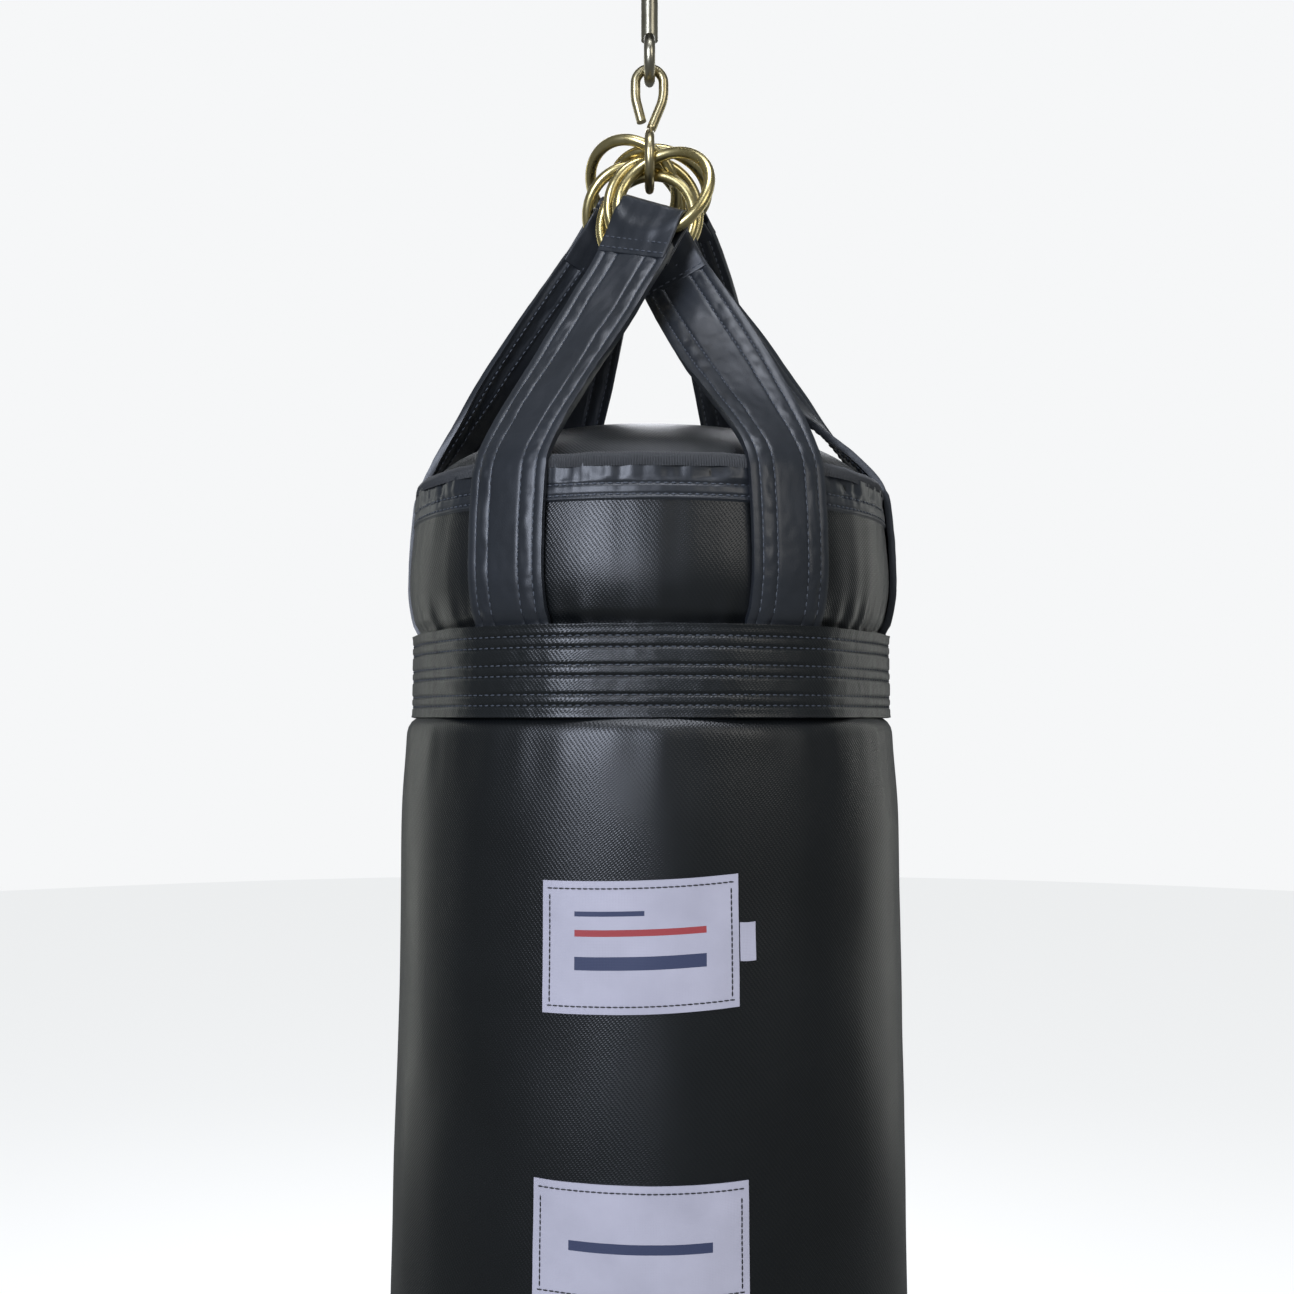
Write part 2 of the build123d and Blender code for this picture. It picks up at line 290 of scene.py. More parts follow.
def plated(name, dark, pale, low, high):
    # Zinc plate over drawn steel wire: even metal with a faint cloud and fine die marks
    material, tree = newMaterial(name)
    place = addNode(tree, "ShaderNodeTexCoord").outputs["Object"]
    cloud = addNode(tree, "ShaderNodeTexNoise", {"Vector": place, "Scale": 70.0, "Detail": 6.0,
                                                 "Roughness": 0.6})
    grit = addNode(tree, "ShaderNodeTexNoise", {"Vector": place, "Scale": 1600.0, "Detail": 3.0})
    bump = addNode(tree, "ShaderNodeBump", {"Height": grit.outputs[0], "Strength": 0.16,
                                            "Distance": 0.1 * mm})
    colour = addNode(tree, "ShaderNodeMix", {0: cloud.outputs[0], 6: toLinear(dark),
                                             7: toLinear(pale)}, data_type="RGBA")
    rough = addNode(tree, "ShaderNodeMapRange", {"Value": cloud.outputs[0], "To Min": low, "To Max": high})
    finishMaterial(tree, addNode(tree, "ShaderNodeBsdfPrincipled", {
        "Base Color": colour.outputs[2], "Metallic": 1.0, "Roughness": rough.outputs[0],
        "Normal": bump.outputs[0]}))
    return material


def powderCoat():
    # Baked polyester powder coat: satin black with a slight orange peel
    material, tree = newMaterial("powderCoat")
    place = addNode(tree, "ShaderNodeTexCoord").outputs["Object"]
    peel = addNode(tree, "ShaderNodeTexNoise", {"Vector": place, "Scale": 420.0, "Detail": 2.0})
    bump = addNode(tree, "ShaderNodeBump", {"Height": peel.outputs[0], "Strength": 0.3,
                                            "Distance": 0.2 * mm})
    colour = addNode(tree, "ShaderNodeMix", {0: peel.outputs[0], 6: toLinear("#17181a"),
                                             7: toLinear("#222326")}, data_type="RGBA")
    finishMaterial(tree, addNode(tree, "ShaderNodeBsdfPrincipled", {
        "Base Color": colour.outputs[2], "Roughness": 0.42, "Normal": bump.outputs[0]}))
    return material


def looseStuffing(name, dark, pale, size):
    # Foam cells or packed rag, seen only when the bag is opened
    material, tree = newMaterial(name)
    place = addNode(tree, "ShaderNodeTexCoord").outputs["Object"]
    cells = addNode(tree, "ShaderNodeTexVoronoi", {"Vector": place, "Scale": 1 / (size * mm)})
    bump = addNode(tree, "ShaderNodeBump", {"Height": cells.outputs[0], "Strength": 0.6,
                                            "Distance": 0.5 * mm})
    colour = addNode(tree, "ShaderNodeMix", {0: cells.outputs[0], 6: toLinear(dark),
                                             7: toLinear(pale)}, data_type="RGBA")
    finishMaterial(tree, addNode(tree, "ShaderNodeBsdfPrincipled", {
        "Base Color": colour.outputs[2], "Roughness": 0.9, "Normal": bump.outputs[0]}))
    return material


def patchCloth(name, ground, bars):
    # Coated label cloth, printed: a plain weave 0.9 mm apart, and flat ink bars, each with its left, right,
    # low and high edge in mm
    material, tree = newMaterial(name)
    uv = addNode(tree, "ShaderNodeUVMap").outputs[0]
    warp = addNode(tree, "ShaderNodeTexWave", {"Vector": uv, "Scale": waveScale / 0.9, "Distortion": 0.4})
    turned = addNode(tree, "ShaderNodeMapping", {"Vector": uv, "Rotation": (0, 0, math.radians(90))})
    weft = addNode(tree, "ShaderNodeTexWave", {"Vector": turned.outputs[0], "Scale": waveScale / 0.9,
                                               "Distortion": 0.4})
    both = addNode(tree, "ShaderNodeMath", {0: warp.outputs[1], 1: weft.outputs[1]}, operation="ADD")
    bump = addNode(tree, "ShaderNodeBump", {"Height": both.outputs[0], "Strength": 0.25,
                                            "Distance": 0.15 * mm})
    cloud = addNode(tree, "ShaderNodeTexNoise", {"Vector": uv, "Scale": 25.0, "Detail": 4.0})
    shade = addNode(tree, "ShaderNodeMix", {0: cloud.outputs[0], 6: toLinear(ground), 7: toLinear("#8d8c98")},
                    data_type="RGBA").outputs[2]
    where = addNode(tree, "ShaderNodeSeparateXYZ", {0: uv})
    for left, right, low, high, ink in bars:
        mask = None
        for axis, start, end in ((0, left, right), (1, low, high)):
            away = addNode(tree, "ShaderNodeMath", {0: where.outputs[axis], 1: (start + end) / 2 * mm},
                           operation="SUBTRACT")
            far = addNode(tree, "ShaderNodeMath", {0: away.outputs[0]}, operation="ABSOLUTE")
            inside = addNode(tree, "ShaderNodeMath", {0: far.outputs[0], 1: (end - start) / 2 * mm},
                             operation="LESS_THAN")
            if mask:
                inside = addNode(tree, "ShaderNodeMath", {0: mask.outputs[0], 1: inside.outputs[0]},
                                 operation="MULTIPLY")
            mask = inside
        shade = addNode(tree, "ShaderNodeMix", {0: mask.outputs[0], 6: shade, 7: toLinear(ink)},
                        data_type="RGBA").outputs[2]
    finishMaterial(tree, addNode(tree, "ShaderNodeBsdfPrincipled", {
        "Base Color": shade, "Roughness": 0.6, "Normal": bump.outputs[0]}))
    return material


wallVinyl = wovenVinyl("wallVinyl", "#07090a", "#0f1214")
beltVinyl = wovenVinyl("beltVinyl", "#0a0d0e", "#131618")
bandVinyl = strapVinyl()
tape = bindingTape()
blackThread = bondedThread("blackThread", "#22262c", "#4d535d")
patchThread = bondedThread("patchThread", "#0d0d0f", "#1d1d20")
goldZinc = plated("yellowZincPlate", "#b7a25c", "#e2d6a8", 0.2, 0.36)
hookZinc = plated("agedZincPlate", "#a3956c", "#cfc4a0", 0.24, 0.38)
clearZinc = plated("clearZincPlate", "#a09a86", "#bdb8a6", 0.24, 0.38)
bearingSteel = plated("bearingSteel", "#b0b0ae", "#c8c8c6", 0.12, 0.2)
blackPowder = powderCoat()
print("stage: materials")


seatRadius = 167   # mm, of the circle that the straps lie on
# azimuth, the ring's seat in the hook, the way the strap leaves it, half its loop's width, its rise off the
# straight run, and its fold's slope
straps = {
    "front_left": (-31.5, (0, -10, -3.4), -43, 27.5, 0.1, 0.16),
    "left": (-102, (0, 10.2, -0.7), -15.5, 27.5, 0.2, 0),
    "front_right": (30.5, (0, -1.2, -10.5), 28, 24, 0.2, 0),
    "right": (91, (0, 1.6, 1), 20, 20, 0.05, 0),
    "back_right": (150, (0, 3.2, 10.1), 14, 20, 0.1, 0),
    "back_left": (-150.5, (0, -5.3, 8.2), 2, 20, 0.1, 0),
}
hookLoop = Vector(joints["bag_swing"]["pos_m"])


def outward(azimuth):
    return Vector((math.sin(azimuth), -math.cos(azimuth), 0))


def sideways(azimuth):
    return Vector((math.cos(azimuth), math.sin(azimuth), 0))


def smoothstep(low, high, x):
    t = min(1, max(0, (x - low) / (high - low)))
    return t * t * (3 - 2 * t)


def curveThrough(points):
    # a smooth line through (value, height) points, as a function of height
    rows = sorted((z, r) for r, z in points)
    slopes = []
    for i in range(len(rows)):
        (z0, r0), (z1, r1) = rows[max(0, i - 1)], rows[min(len(rows) - 1, i + 1)]
        slopes.append((r1 - r0) / (z1 - z0))

    def at(height):
        i = 0
        while i < len(rows) - 2 and height > rows[i + 1][0]:
            i += 1
        (z0, r0), (z1, r1) = rows[i], rows[i + 1]
        t = min(1, max(0, (height - z0) / (z1 - z0)))
        step = (z1 - z0)
        return (r0 * (1 + 2 * t) * (1 - t) ** 2 + r1 * t * t * (3 - 2 * t)
                + step * (slopes[i] * t * (1 - t) ** 2 - slopes[i + 1] * t * t * (1 - t)))
    return at


def ripple(x, y, z, seed):
    return noise.noise(Vector((x, y, z + seed * 7.3)))


def clothGrid(name, across, along, place, size, closed=False):
    # a grid laid over a shape: place(u, v) gives each corner in mm over the belt, size sets the UV map in mm
    unselectAll()
    bpy.ops.mesh.primitive_grid_add(x_subdivisions=across, y_subdivisions=along, size=1)
    piece = bpy.context.object
    piece.name = piece.data.name = name
    for vertex in piece.data.vertices:
        u, v = vertex.co.x + 0.5, vertex.co.y + 0.5
        x, y, z = place(u, v)
        vertex.co = (x * mm, y * mm, z * mm + beltZ)
    for corner in piece.data.uv_layers[0].data:
        corner.uv = (corner.uv[0] * size[0] * mm, corner.uv[1] * size[1] * mm)
    if closed:
        bpy.ops.object.mode_set(mode="EDIT")
        bpy.ops.mesh.select_all(action="SELECT")
        bpy.ops.mesh.remove_doubles(threshold=1e-6)
        bpy.ops.object.mode_set(mode="OBJECT")
    return piece


def faceAway(piece):
    pick(piece)
    bpy.ops.object.mode_set(mode="EDIT")
    bpy.ops.mesh.select_all(action="SELECT")
    bpy.ops.mesh.normals_make_consistent(inside=False)
    bpy.ops.object.mode_set(mode="OBJECT")


def applyModifier(piece, kind, **settings):
    modifier = piece.modifiers.new(kind.lower(), kind)
    for key, value in settings.items():
        setattr(modifier, key, value)
    pick(piece)
    bpy.ops.object.modifier_apply(modifier=modifier.name)


def roundEdges(piece, width, segments):
    applyModifier(piece, "BEVEL", width=width * mm, segments=segments, limit_method="ANGLE",
                  angle_limit=math.radians(60))


def dress(piece, body, material, nodes=(), angle=50):
    pick(piece)
    bpy.ops.object.shade_smooth_by_angle(angle=math.radians(angle))
    piece.data.materials.clear()
    piece.data.materials.append(material)
    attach(piece, body)
    if nodes:
        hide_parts(*nodes)
    return piece


thread = {"length": 3.5, "width": 1.15, "height": 0.9, "pitch": 4.8, "patchPitch": 3.6}


def stitchShape():
    unselectAll()
    bpy.ops.mesh.primitive_uv_sphere_add(segments=6, ring_count=4, radius=0.5)
    bead = bpy.context.object
    corners = [v.co.copy() for v in bead.data.vertices]
    faces = [tuple(p.vertices) for p in bead.data.polygons]
    bpy.data.objects.remove(bead)
    return corners, faces


beadCorners, beadFaces = stitchShape()


def sew(name, seams, material, body, scale=1.0):
    # seams is a list of rows, each row a list of (place in mm, way along, way out). A stitch is a flat bead
    corners, faces = [], []
    for row in seams:
        for place, along, out in row:
            along = along.normalized()
            out = (out - along * out.dot(along)).normalized()
            side = along.cross(out)
            start = len(corners)
            for c in beadCorners:
                p = (place + side * (c.x * thread["width"] * scale) + out * (c.y * thread["height"] * scale)
                     + along * (c.z * thread["length"]))
                corners.append((p.x * mm, p.y * mm, p.z * mm + beltZ))
            faces += [tuple(i + start for i in f) for f in beadFaces]
    mesh = bpy.data.meshes.new(name)
    mesh.from_pydata(corners, [], faces)
    mesh.update()
    piece = bpy.data.objects.new(name, mesh)
    bpy.context.scene.collection.objects.link(piece)
    faceAway(piece)
    return dress(piece, body, material, angle=180)


def roundSeam(radiusAt, height):
    # one row of stitches round the bag at a height
    count = int(2 * math.pi * radiusAt(0, height) / thread["pitch"])
    row = []
    for i in range(count):
        azimuth = 2 * math.pi * i / count
        out = outward(azimuth)
        row.append((out * radiusAt(azimuth, height) + Vector((0, 0, height)), sideways(azimuth), out))
    return row


def awayFromStrap(azimuth):
    # mm round the wall from the nearest strap's middle
    best = 999
    for row in straps.values():
        turn = (azimuth - math.radians(row[0]) + math.pi) % (2 * math.pi) - math.pi
        best = min(best, abs(turn) * seatRadius)
    return best


wall = {
    "upper": [(160.5, 28), (160.5, 57.5), (164.5, 66), (167.5, 86), (166.2, 120), (163.6, 140),
              (162.8, 149), (162.4, 154)],
    "lower": [(163, 1), (168.6, -4), (171, -16), (174, -60), (176, -155), (178, -250), (180.4, -340),
              (182.4, -500), (183, -650), (182.2, -800), (179.6, -930), (174.5, -1010), (167, -1050)],
    "upperEnds": (154, 40), "lowerEnds": (1, -1050),
    "girth": 1100,
    "patchRadius": 175.5,
    "around": 300,
    "upperRows": 70,
    "lowerRows": 300,
    "dent": 1.3,       # mm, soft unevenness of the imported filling
    "pucker": 1.1,     # mm, gathers beside a tight seam
}
upperLine, lowerLine = curveThrough(wall["upper"]), curveThrough(wall["lower"])


def upperRadius(azimuth, height):
    x, y = math.cos(azimuth), math.sin(azimuth)
    nearBelt = 1 - smoothstep(60, 84, height)
    nearRim = smoothstep(134, 142, height)
    stray = awayFromStrap(azimuth)
    gather = ripple(x * 14, y * 14, height * 0.012, 1) * wall["pucker"] * (0.35 + 1.6 * nearBelt)
    fine = ripple(x * 55, y * 55, height * 0.03, 2) * 0.7 * nearRim
    bulge = 0.9 * math.sin(math.pi * smoothstep(60, 128, height)) * smoothstep(22, 42, stray)
    soft = wall["dent"] * 0.5 * ripple(x * 2.4, y * 2.4, height / 60, 3)
    return upperLine(height) + gather + fine + bulge + soft


def lowerRadius(azimuth, height):
    x, y = math.cos(azimuth), math.sin(azimuth)
    soft = ripple(x * 2.2, y * 2.2, height / 130, 4) + 0.5 * ripple(x * 5, y * 5, height / 60, 5)
    nearBelt = 1 - smoothstep(8, 60, -height)
    gather = ripple(x * 11, y * 11, height * 0.008, 6) * wall["pucker"] * nearBelt
    nearFoot = smoothstep(985, 1040, -height)
    foot = ripple(x * 12, y * 12, height * 0.01, 7) * 1.4 * nearFoot
    ease = smoothstep(4, 30, -height) * (1 - smoothstep(1000, 1045, -height))
    return lowerLine(height) + wall["dent"] * soft * ease + gather * smoothstep(0, 10, -height) + foot


def onCircle(radius, azimuth, height):
    return (radius * math.sin(azimuth), -radius * math.cos(azimuth), height)


def turnedPlace(radiusAt, high, low):
    def place(u, v):
        azimuth, height = 2 * math.pi * u, low + (high - low) * v
        return onCircle(radiusAt(azimuth, height), azimuth, height)
    return place


def alongProfile(profile, v):
    # (radius, height) on a tape's section, from its last point at v = 0 to its first at v = 1
    t = (1 - v) * (len(profile) - 1)
    i = min(int(t), len(profile) - 2)
    (r0, z0), (r1, z1) = profile[i], profile[i + 1]
    return r0 + (r1 - r0) * (t - i), z0 + (z1 - z0) * (t - i)


def makeWall():
    upper = clothGrid("upper_wall_vinyl", wall["around"] * 2, wall["upperRows"],
                      turnedPlace(upperRadius, *wall["upperEnds"]), (wall["girth"], 114), closed=True)
    applyModifier(upper, "SOLIDIFY", thickness=1.6 * mm, offset=-1)
    dress(upper, "bag", wallVinyl, ["upper_wall"])
    lower = clothGrid("lower_wall_vinyl", wall["around"], wall["lowerRows"],
                      turnedPlace(lowerRadius, *wall["lowerEnds"]), (wall["girth"], 1051), closed=True)
    dress(lower, "bag", wallVinyl, ["lower_wall"])


makeWall()
print("stage: wall")


belt = {
    "height": 57, "low": 0.6, "radius": 163.4, "overStrap": 4.9,
    "rows": [7.1, 13.9, 24.8, 31.5, 42.8, 49.3],     # stitch rows down from the upper edge
    "puff": 1.25, "around": 640, "along": 72,
}


def beltRadius(azimuth, height):
    down = belt["height"] - height
    x, y = math.cos(azimuth), math.sin(azimuth)
    step = belt["overStrap"] * (1 - smoothstep(26, 80, awayFromStrap(azimuth)))
    groove = sum(math.exp(-((down - row) / 1.1) ** 2) for row in belt["rows"])
    edge = math.exp(-(down / 1.5) ** 2) + math.exp(-((belt["height"] - down) / 1.5) ** 2)
    pull = ripple(x * 26, y * 26, height * 0.09, 8) * 0.2 + ripple(x * 60, y * 60, height * 0.2, 9) * 0.1
    lean = 0.8 * (1 - height / belt["height"])
    return belt["radius"] + step + lean + belt["puff"] * (0.35 - groove) * 0.9 + 0.5 * edge + pull


def makeBelt():
    flat = turnedPlace(beltRadius, belt["height"], belt["low"])

    def place(u, v):
        x, y, z = flat(u, v)
        azimuth = 2 * math.pi * u
        wave = 0.5 * ripple(math.cos(azimuth) * 6, math.sin(azimuth) * 6, 0, 10)
        return x, y, z + wave * v
    band = clothGrid("belt_band", belt["around"], belt["along"], place, (1040, 57), closed=True)
    applyModifier(band, "SOLIDIFY", thickness=2.3 * mm, offset=-1)
    roundEdges(band, 0.7, 2)
    dress(band, "bag", beltVinyl, ["belt"])
    seams = [roundSeam(lambda a, h: beltRadius(a, h) + 0.3, belt["height"] - row) for row in belt["rows"]]
    sew("belt_stitching", seams, blackThread, "bag")


makeBelt()
print("stage: belt")


tapeRib = 0.28   # mm, half the depth of the tapes' ribs
rim = {
    "strip": (131, 154), "stripRows": [134.6, 141.4],
    "tape": [(164.6, 152), (164.4, 155), (163.4, 158.4), (161.6, 160.6), (159.2, 161.2), (157.6, 160.2)],
    "ribs": 640,
    "cover": [(0, 200), (60, 197), (110, 187), (140, 174), (156, 160), (160.6, 151)],
}


def makeRim():
    low, high = rim["strip"]

    def stripRadius(azimuth, height):
        x, y = math.cos(azimuth), math.sin(azimuth)
        seam = sum(math.exp(-((height - row) / 1.0) ** 2) for row in rim["stripRows"])
        loose = smoothstep(142, 146, height)
        pucker = ripple(x * 10, y * 10, height * 0.05, 21) * 2
        pucker += ripple(x * 24, y * 24, height * 0.09, 22) * 0.8
        raised = 1.4 * smoothstep(low, low + 1.5, height)
        return upperRadius(azimuth, height) + raised - 0.8 * seam + loose * pucker
    strip = clothGrid("rim_strip", 560, 34, turnedPlace(stripRadius, high, low), (1030, 23), closed=True)
    dress(strip, "bag", bandVinyl, ["rim_band"])
    seams = [roundSeam(lambda a, h: stripRadius(a, h) + 0.3, row) for row in rim["stripRows"]]
    sew("rim_stitching", seams, blackThread, "bag")

    def tapePlace(u, v):
        azimuth = 2 * math.pi * u
        r, z = alongProfile(rim["tape"], v)
        x, y = math.cos(azimuth), math.sin(azimuth)
        r += tapeRib * math.cos(azimuth * rim["ribs"]) + 0.4 * ripple(x * 22, y * 22, 0, 12)
        return onCircle(r, azimuth, z + ripple(x * 9, y * 9, 0, 11) * 0.8)
    ribbed = clothGrid("rim_tape", rim["ribs"] * 3, 10, tapePlace, (1020, 17), closed=True)
    faceAway(ribbed)
    dress(ribbed, "bag", tape, ["rim_binding"], angle=70)

    at = curveThrough([(height, radius) for radius, height in rim["cover"]])

    def coverPlace(u, v):
        azimuth, t = 2 * math.pi * u, 1 - v
        r = rim["cover"][-1][0] * math.sin(t * math.pi / 2)
        x, y = math.cos(azimuth), math.sin(azimuth)
        gather = smoothstep(0.55, 1, t) * (1 - smoothstep(0.93, 1, t)) * ripple(x * 9, y * 9, t, 13) * 1.6
        return onCircle(r, azimuth, at(r) + gather + 1.2 * ripple(x * r / 70, y * r / 70, 0, 14))
    cover = clothGrid("cover_vinyl", 256, 60, coverPlace, (1000, 180), closed=True)
    faceAway(cover)
    dress(cover, "bag", wallVinyl, ["top_cover"])


makeRim()
print("stage: rim and cover")


foot = {
    "panel": [(0, -1061.5), (80, -1060.6), (150, -1057.6), (164.6, -1052)],
    "tape": [(171.4, -1039), (170.6, -1046), (169, -1052.2), (165.2, -1055), (158, -1058)],
    "ribs": 640,
}


def makeFoot():
    at = curveThrough([(height, radius) for radius, height in foot["panel"]])

    def panelPlace(u, v):
        azimuth, r = 2 * math.pi * u, foot["panel"][-1][0] * (1 - v)
        x, y = math.cos(azimuth), math.sin(azimuth)
        return onCircle(r, azimuth, at(r) + 0.5 * ripple(x * r / 30, y * r / 30, 0, 15))
    panel = clothGrid("floor_vinyl", 200, 40, panelPlace, (1030, 165), closed=True)
    dress(panel, "bag", wallVinyl, ["bottom_panel"])

    def tapePlace(u, v):
        azimuth = 2 * math.pi * u
        r, z = alongProfile(foot["tape"], v)
        return onCircle(r + tapeRib * math.cos(azimuth * foot["ribs"]), azimuth, z)
    ribbed = clothGrid("floor_tape", foot["ribs"] * 3, 12, tapePlace, (1060, 24), closed=True)
    dress(ribbed, "bag", tape, ["bottom_binding"], angle=70)


makeFoot()
print("stage: floor")


strap = {
    "width": 55, "thick": 4.6, "leaf": 2.3, "bow": 0.5, "turn": (168.4, 158.5),
    "wallLine": [(165.4, 158), (165.4, 146), (167.3, 130), (168.2, 118), (169, 96), (168.6, 84), (165.2, 66),
                 (161.3, 58), (161.3, 4)],
    "rows": [-21.5, -11.5, 11.5, 21.5], "channel": 0.6, "easing": 14,
    "ringMid": 34.5, "ringWire": 4.0, "slack": 0.3,
    "wallEnds": (4, 155), "wallSteps": 44, "freeSteps": 60, "offWall": 2.4,
    "easedRows": (37, 54),         # stations either side of the rim
    "seamStarts": (18.0, 47.0),    # stations where the outer and the inner rows begin
}
wallLine = curveThrough(strap["wallLine"])
loop = {     # mm past the ring's inner side, tail beyond its outer side, half the gap open and sewn, fold's depth
    "past": 1.2, "tail": 15, "open": 4.2, "shut": 3.4, "bend": 4.0,
    "roll": 0.22,    # share of the loop that turns over the fold
}


def rigging(name):
    azimuth, seat, lean, half, rise, slope = straps[name]
    joint = joints[f"ring_{name}_turn"]
    centre = (Vector(joint["pos_m"]) - Vector((0, 0, beltZ))) / mm
    normal = Vector(joint["axis"])
    hook = (hookLoop - Vector((0, 0, beltZ))) / mm + Vector(seat)
    down = (centre - hook).normalized()
    across = normal.cross(down)
    lean = math.radians(lean)
    pull = down * math.cos(lean) + across * math.sin(lean)
    across = normal.cross(pull)
    return {"azimuth": math.radians(azimuth), "half": half, "rise": rise, "centre": centre, "normal": normal,
            "pull": pull, "across": across, "slope": slope if across.x > 0 else -slope,
            "near": math.sqrt((strap["ringMid"] - strap["ringWire"]) ** 2 - half ** 2) - strap["slack"],
            "far": strap["ringMid"] + strap["ringWire"] + strap["slack"]}


def strapStations(rig):
    # (middle, way along, way across, half width, curl round the wall) from under the belt to the loop
    azimuth = rig["azimuth"]
    side, out = sideways(azimuth), outward(azimuth)
    stations = []
    low, high = strap["wallEnds"]
    for i in range(strap["wallSteps"] + 1):
        height = low + (high - low) * i / strap["wallSteps"]
        slope = (wallLine(height + 1) - wallLine(height - 1)) / 2
        heading = (out * slope + Vector((0, 0, 1))).normalized()
        middle = out * (wallLine(height) + strap["offWall"]) + Vector((0, 0, height))
        stations.append((middle, heading, side, strap["width"] / 2, 1))
    rim = out * strap["turn"][0] + Vector((0, 0, strap["turn"][1]))
    end = rig["centre"] + rig["pull"] * (rig["far"] + 1.5)
    across = rig["across"] if rig["across"].dot(side) > 0 else -rig["across"]
    run = end - rim
    leave = (run.normalized() + Vector((0, 0, rig["rise"]))).normalized() * run.length * strap["bow"]
    arrive = -rig["pull"] * run.length * strap["bow"]
    for i in range(1, strap["freeSteps"] + 1):
        t = i / strap["freeSteps"]
        blend = t * t * (3 - 2 * t)
        middle = rim * (1 - blend) + end * blend + leave * (t * (1 - t) ** 2) - arrive * (t * t * (1 - t))
        heading = ((rim - end) * (6 * t * t - 6 * t) + leave * (1 - 4 * t + 3 * t * t)
                   + arrive * (3 * t * t - 2 * t)).normalized()
        width = side * (1 - blend) + across * blend
        width = (width - heading * width.dot(heading)).normalized()
        half = strap["width"] / 2 + (rig["half"] - strap["width"] / 2) * max(0, 2 * t - 1)
        stations.append((middle, heading, width, half, 1 - smoothstep(0, 0.3, t)))
    return eased(stations)


def eased(stations):
    # rounds the strap's turn over the rim
    middles = [row[0] for row in stations]
    first, last = strap["easedRows"]
    for _ in range(strap["easing"]):
        for i in range(first, last):
            middles[i] = middles[i] / 2 + (middles[i - 1] + middles[i + 1]) / 4
    rows = []
    for i, (_, heading, width, half, curl) in enumerate(stations):
        if first - 1 <= i <= last:
            heading = (middles[i + 1] - middles[i - 1]).normalized()
            width = (width - heading * width.dot(heading)).normalized()
        rows.append((middles[i], heading, width, half, curl))
    return rows


def strapPoint(stations, index, x, lift=0.0):
    # a point x of the half width across the strap, lifted off its outer face
    i = min(int(index), len(stations) - 2)
    t = index - i
    parts = [a.lerp(b, t) for a, b in zip(stations[i][:3], stations[i + 1][:3])]
    half = stations[i][3] * (1 - t) + stations[i + 1][3] * t
    curl = stations[i][4] * (1 - t) + stations[i + 1][4] * t
    middle, heading, width = parts
    out = width.cross(heading).normalized()
    away = x * half
    return middle + width * away + out * (lift - curl * away * away / (2 * seatRadius)), heading, out, width


def relief(index, across, number):
    # mm off the strap's face: stitch channels, the fuller strip between two rows, and soft handling waves
    free = smoothstep(46, 62, index)
    between = abs(across) - 16.5
    seam = sum(math.exp(-((across - row) / 1.2) ** 2) for row in strap["rows"])
    full = math.exp(-(between / 3) ** 2) + 0.7 * math.exp(-((abs(across) - 25) / 1.6) ** 2)
    soft = ripple(across * 0.05, index * 0.13, number, 16) * 1.1 * free
    puck = ripple(across * 0.16, index * 0.5, number, 17) * (0.2 + 0.5 * math.exp(-(between / 4) ** 2))
    return 0.4 * full - strap["channel"] * seam + soft + puck


def loopPoint(rig, number, u, v):
    # a closed loop of cloth round the ring's wire, from the front leaf over the fold to the back leaf
    away, s = (2 * u - 1) * rig["half"], 2 * v - 1
    wire = math.sqrt(strap["ringMid"] ** 2 - away ** 2)
    fold = rig["near"] - loop["past"] - 9 * abs(rig["slope"]) + rig["slope"] * away
    low = rig["far"] + loop["tail"]
    if abs(s) < loop["roll"]:
        turn = abs(s) / loop["roll"] * math.pi / 2
        e, n = fold + loop["bend"] * (1 - math.cos(turn)), loop["open"] * math.sin(turn)
    else:
        t = (abs(s) - loop["roll"]) / (1 - loop["roll"])
        e = fold + loop["bend"] + (low - fold - loop["bend"]) * t
        shut = smoothstep(0.45, 0.8, t)
        n = loop["open"] * (1 - shut) + loop["shut"] * shut
    n += 1.5 * math.exp(-((e - wire) / 6.0) ** 2) + 0.5 * ripple(away * 0.16, e * 0.03, number, 18)
    face = rig["outSide"] if s < 0 else -rig["outSide"]
    return rig["centre"] + rig["pull"] * e + rig["across"] * away + rig["normal"] * (n * face)


def strapSeams(rig, stations, number):
    # the long rows on both faces of the web, then the two rows across the loop's tail
    rows, seams = len(stations) - 1, []
    for row in strap["rows"]:
        across = row / (strap["width"] / 2)
        for face, start in zip((1, -1), strap["seamStarts"]):
            lift = face * (strap["thick"] / 2 + 0.1)
            line, index = [], start
            while index < rows - 5:
                height = lift + relief(index, row, number)
                middle, heading, out, _ = strapPoint(stations, index, across, height)
                line.append((middle, heading, out))
                step = strapPoint(stations, index + 0.5, across)[0] - strapPoint(stations, index, across)[0]
                index += thread["pitch"] / (step.length / 0.5)
            seams.append(line)
    out, reach = rig["normal"] * rig["outSide"], 2 * (rig["half"] - 3)
    count = int(reach / thread["pitch"])
    for e in (rig["far"] + 3.5, rig["far"] + 11.5):
        start = rig["centre"] + rig["pull"] * e + out * 4.7
        seams.append([(start + rig["across"] * ((i / count - 0.5) * reach), rig["across"], out)
                      for i in range(count + 1)])
    return seams


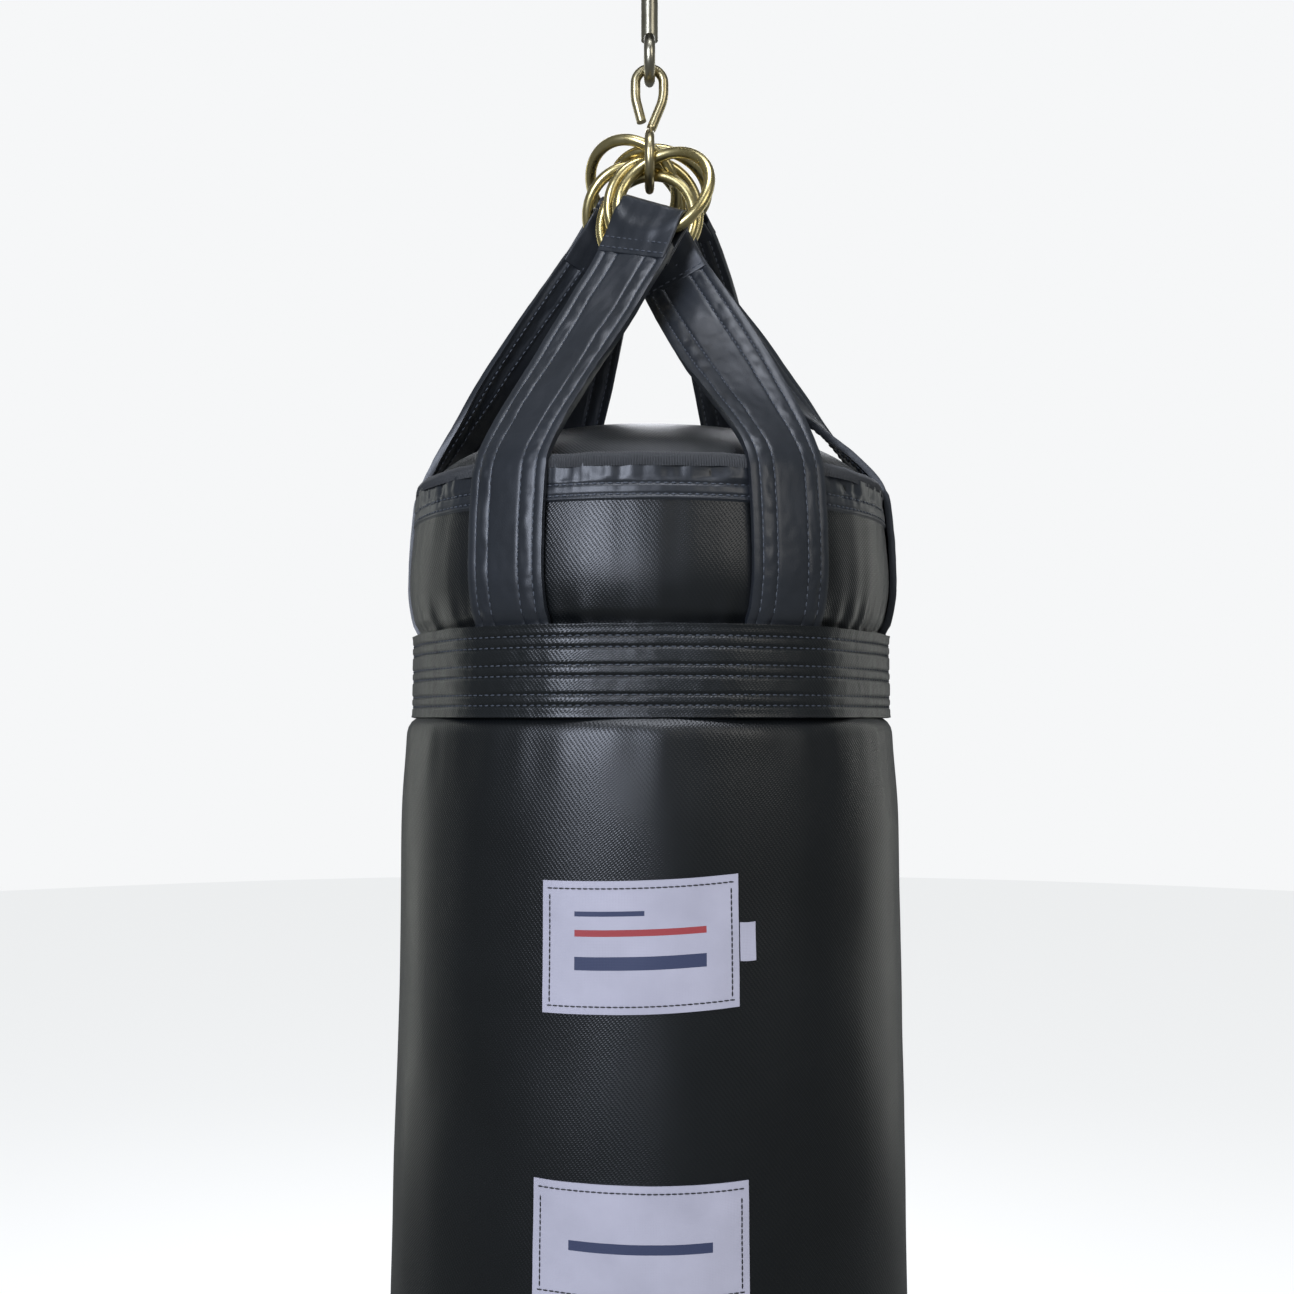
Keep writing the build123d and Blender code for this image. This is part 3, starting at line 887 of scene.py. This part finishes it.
def makeStrap(name, number):
    rig = rigging(name)
    stations = strapStations(rig)
    rows = len(stations) - 1
    total = sum((a[0] - b[0]).length for a, b in zip(stations, stations[1:]))
    rig["outSide"] = 1 if strapPoint(stations, rows, 0)[2].dot(rig["normal"]) > 0 else -1

    def place(u, v):
        x = 2 * u - 1
        return strapPoint(stations, v * rows, x, relief(v * rows, x * strap["width"] / 2, number))[0]
    body = clothGrid(f"strap_{name}_web", 72, rows * 2, place, (strap["width"], total))
    applyModifier(body, "SOLIDIFY", thickness=strap["thick"] * mm, offset=0)
    roundEdges(body, 1.5, 3)
    dress(body, "bag", bandVinyl, [f"strap_{name}"])

    leaf = clothGrid(f"strap_{name}_loop", 22, 72, lambda u, v: loopPoint(rig, number, u, v),
                     (2 * rig["half"], 90))
    applyModifier(leaf, "SOLIDIFY", thickness=strap["leaf"] * mm, offset=0)
    roundEdges(leaf, 0.8, 2)
    dress(leaf, "bag", bandVinyl)
    sew(f"strap_{name}_stitching", strapSeams(rig, stations, number), blackThread, "bag")


for number, name in enumerate(straps):
    makeStrap(name, number)
print("stage: straps")


patches = {
    "front_patch": {"middle": -1.9, "wide": 119, "high": -95, "low": -174, "sag": 1.2, "tilt": 0.035,
                    "frame": 4.5, "bars": [(20, 99, 26, 34, "#2b3350"), (20, 99, 46, 50, "#8c2f33"),
                                           (20, 62, 58, 61, "#2b3350")]},
    "lower_patch": {"middle": -1.9, "wide": 128, "high": -275, "low": -345, "sag": 1.0, "tilt": 0,
                    "frame": 4.5, "bars": [(22, 106, 30, 36, "#2b3350")]},
    "side_tab": {"middle": 19.5, "wide": 10, "high": -122, "low": -145, "sag": 0.3, "tilt": 0,
                 "frame": 0, "bars": []},
}


def makePatch(name, patch):
    middle = math.radians(patch["middle"])
    tall = patch["high"] - patch["low"]

    def spot(away, height):
        azimuth = middle + away / wall["patchRadius"]
        bow = patch["sag"] * (1 - (2 * away / patch["wide"]) ** 2)
        lift = 0.75 + 0.35 * ripple(away * 0.05, height * 0.05, 0, 20)
        r = lowerRadius(azimuth, height) + lift
        return outward(azimuth) * r + Vector((0, 0, height - bow + patch["tilt"] * away))

    def place(u, v):
        return spot((u - 0.5) * patch["wide"], patch["low"] + tall * v)
    cloth = patchCloth(name + "Cloth", "#a9a7b4", patch["bars"])
    piece = clothGrid(name + "_cloth", 60 if patch["frame"] else 12, 40 if patch["frame"] else 16, place,
                      (patch["wide"], tall))
    applyModifier(piece, "SOLIDIFY", thickness=0.8 * mm, offset=0)
    dress(piece, "bag", cloth, [name])
    if not patch["frame"]:
        return
    inset = patch["frame"]
    seams = []
    for height in (patch["high"] - inset, patch["low"] + inset):
        count = int((patch["wide"] - 2 * inset) / thread["patchPitch"])
        row = []
        for i in range(count + 1):
            away = (i / count - 0.5) * (patch["wide"] - 2 * inset)
            azimuth = middle + away / wall["patchRadius"]
            row.append((spot(away, height) + outward(azimuth) * 0.45, sideways(azimuth), outward(azimuth)))
        seams.append(row)
    for away in (-patch["wide"] / 2 + inset, patch["wide"] / 2 - inset):
        upright, count = [], int((tall - 2 * inset) / thread["patchPitch"])
        out = outward(middle + away / wall["patchRadius"])
        for i in range(1, count):
            height = patch["low"] + inset + i * thread["patchPitch"]
            upright.append((spot(away, height) + out * 0.45, Vector((0, 0, 1)), out))
        seams.append(upright)
    sew(name + "_stitching", seams, patchThread, "bag", scale=0.9)


for name, patch in patches.items():
    makePatch(name, patch)
print("stage: patches")


finishes = {
    "ceiling_plate": blackPowder, "swivel_housing": blackPowder, "lower_bearing_race": bearingSteel,
    "upper_bearing_race": bearingSteel, "bearing_balls": bearingSteel, "swivel_nut": clearZinc,
    "swivel_eye": clearZinc, "s_hook": hookZinc,
    "foam_liner": looseStuffing("openFoam", "#6f7073", "#8b8c90", 1.5),
    "textile_filling": looseStuffing("packedRag", "#54504a", "#8a847a", 9),
}
for name, piece in frame["nodes"].items():
    material = goldZinc if name.startswith("ring_") else finishes.get(name)
    if material:
        for holder in ([piece] + list(piece.children_recursive)):
            if holder.type == "MESH":
                holder.data.materials.clear()
                holder.data.materials.append(material)
print("stage: hardware finishes")
